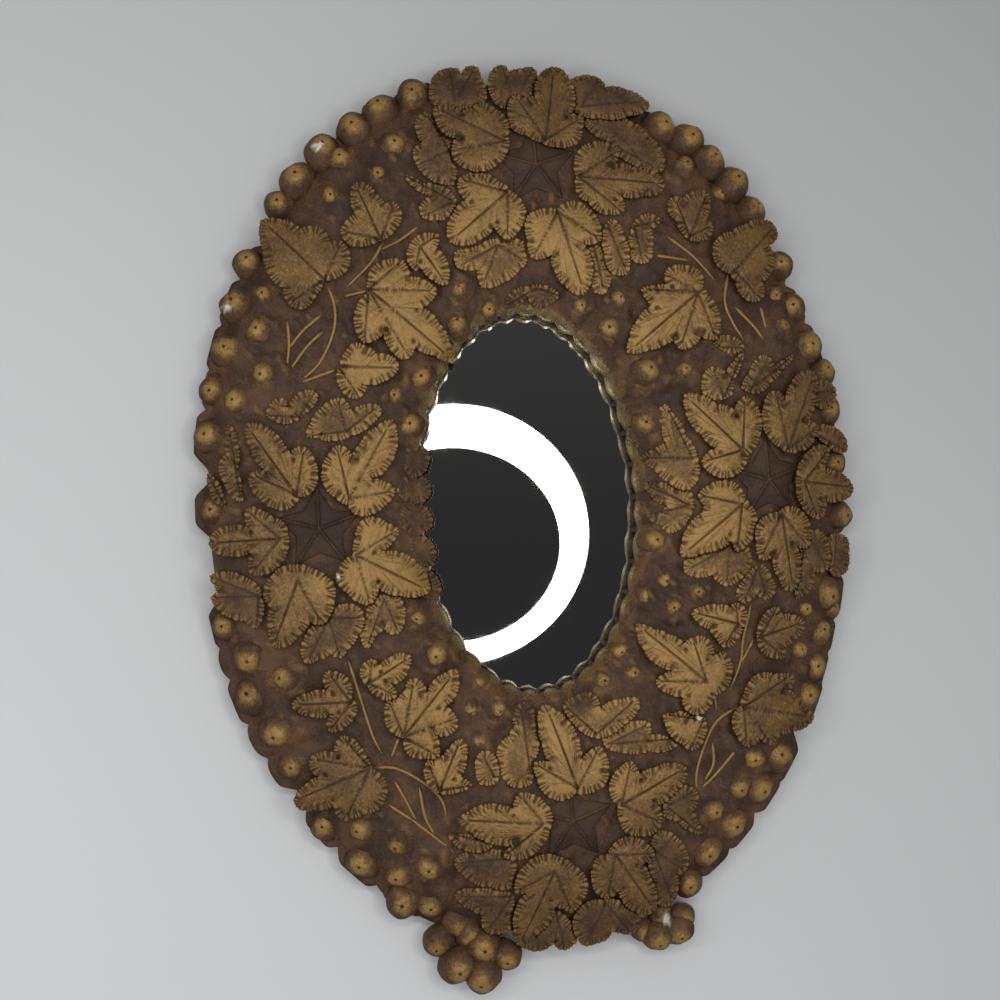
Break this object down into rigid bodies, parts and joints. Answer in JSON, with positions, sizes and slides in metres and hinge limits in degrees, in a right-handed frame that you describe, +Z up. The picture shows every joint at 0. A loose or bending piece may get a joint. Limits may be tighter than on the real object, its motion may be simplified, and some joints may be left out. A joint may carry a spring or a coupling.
{
  "type": "convex mirror",
  "caption": "Oval convex wall mirror in a domed wooden frame covered with gilded vine leaves, stems and grapes, with turn buttons and a hanging ring behind.",
  "frame": {"origin": "middle of the oval on the wall plane that the felt pads touch", "axes": "+X to the right as seen from the front, the mirror faces -Y so +Y goes into the wall, +Z up"},
  "size_m": [0.3134, 0.031, 0.4371],
  "materials": {
    "frame_paint": "dark brown paint over a white ground",
    "leaf_gilding": "brown paint rubbed with bronze gold on the raised parts",
    "under_leaf_paint": "brown paint with a little gold on the edges",
    "stem_gilding": "bronze gold over brown paint",
    "star_paint": "dark brown paint",
    "grape_gilding": "brown paint with bronze gold on the tops",
    "mirror_silver": "silvered convex glass",
    "packing_card": "grey card",
    "board_wood": "bare board",
    "button_steel": "plated steel",
    "screw_brass": "worn brass",
    "hanger_brass": "dull brass",
    "pad_felt": "brown felt"
  },
  "bodies": {
    "frame": {"back_board": "board_wood", "bottom_leaf_1": "leaf_gilding", "bottom_leaf_2": "leaf_gilding", "bottom_leaf_3": "leaf_gilding", "bottom_leaf_4": "leaf_gilding", "bottom_leaf_5": "leaf_gilding", "bottom_star": "star_paint", "frame_body": "frame_paint", "hanger_plate": "hanger_brass", "hanger_screws": "screw_brass", "left_bunch": "grape_gilding", "left_leaf_1": "leaf_gilding", "left_leaf_2": "leaf_gilding", "left_leaf_3": "leaf_gilding", "left_leaf_4": "leaf_gilding", "left_leaf_5": "leaf_gilding", "left_star": "star_paint", "lower_left_grapes": "grape_gilding", "lower_left_sprig_leaves": "leaf_gilding", "lower_left_stems": "stem_gilding", "lower_left_under_leaves": "under_leaf_paint", "lower_right_grapes": "grape_gilding", "lower_right_sprig_leaves": "leaf_gilding", "lower_right_stems": "stem_gilding", "lower_right_under_leaves": "under_leaf_paint", "mirror_glass": "mirror_silver", "packing_ring": "packing_card", "right_bunch": "grape_gilding", "right_leaf_1": "leaf_gilding", "right_leaf_2": "leaf_gilding", "right_leaf_3": "leaf_gilding", "right_leaf_4": "leaf_gilding", "right_leaf_5": "leaf_gilding", "right_star": "star_paint", "rim_grapes": "grape_gilding", "top_leaf_1": "leaf_gilding", "top_leaf_2": "leaf_gilding", "top_leaf_3": "leaf_gilding", "top_leaf_4": "leaf_gilding", "top_leaf_5": "leaf_gilding", "top_star": "star_paint", "turn_button_screws": "screw_brass", "upper_left_grapes": "grape_gilding", "upper_left_sprig_leaves": "leaf_gilding", "upper_left_stems": "stem_gilding", "upper_left_under_leaves": "under_leaf_paint", "upper_right_grapes": "grape_gilding", "upper_right_sprig_leaves": "leaf_gilding", "upper_right_stems": "stem_gilding", "upper_right_under_leaves": "under_leaf_paint", "wall_pads": "pad_felt"},
    "turn_button_1": {"turn_button_1": "button_steel"},
    "turn_button_2": {"turn_button_2": "button_steel"},
    "turn_button_3": {"turn_button_3": "button_steel"},
    "turn_button_4": {"turn_button_4": "button_steel"},
    "hanger_ring": {"hanger_ring": "hanger_brass"}
  },
  "joints": [
    {"name": "button_turn_1", "type": "hinge", "parent": "frame", "child": "turn_button_1", "pos_m": [0.04991, -0.0031, 0.07309], "axis": [0, 1, 0], "continuous": true},
    {"name": "button_turn_2", "type": "hinge", "parent": "frame", "child": "turn_button_2", "pos_m": [0.04991, -0.0031, -0.07309], "axis": [0, 1, 0], "continuous": true},
    {"name": "button_turn_3", "type": "hinge", "parent": "frame", "child": "turn_button_3", "pos_m": [-0.04991, -0.0031, -0.07309], "axis": [0, 1, 0], "continuous": true},
    {"name": "button_turn_4", "type": "hinge", "parent": "frame", "child": "turn_button_4", "pos_m": [-0.04991, -0.0031, 0.07309], "axis": [0, 1, 0], "continuous": true},
    {"name": "ring_swing", "type": "hinge", "parent": "frame", "child": "hanger_ring", "pos_m": [0, -0.0068, 0.15], "axis": [-1, 0, 0], "range_deg": [0, 170]}
  ]
}
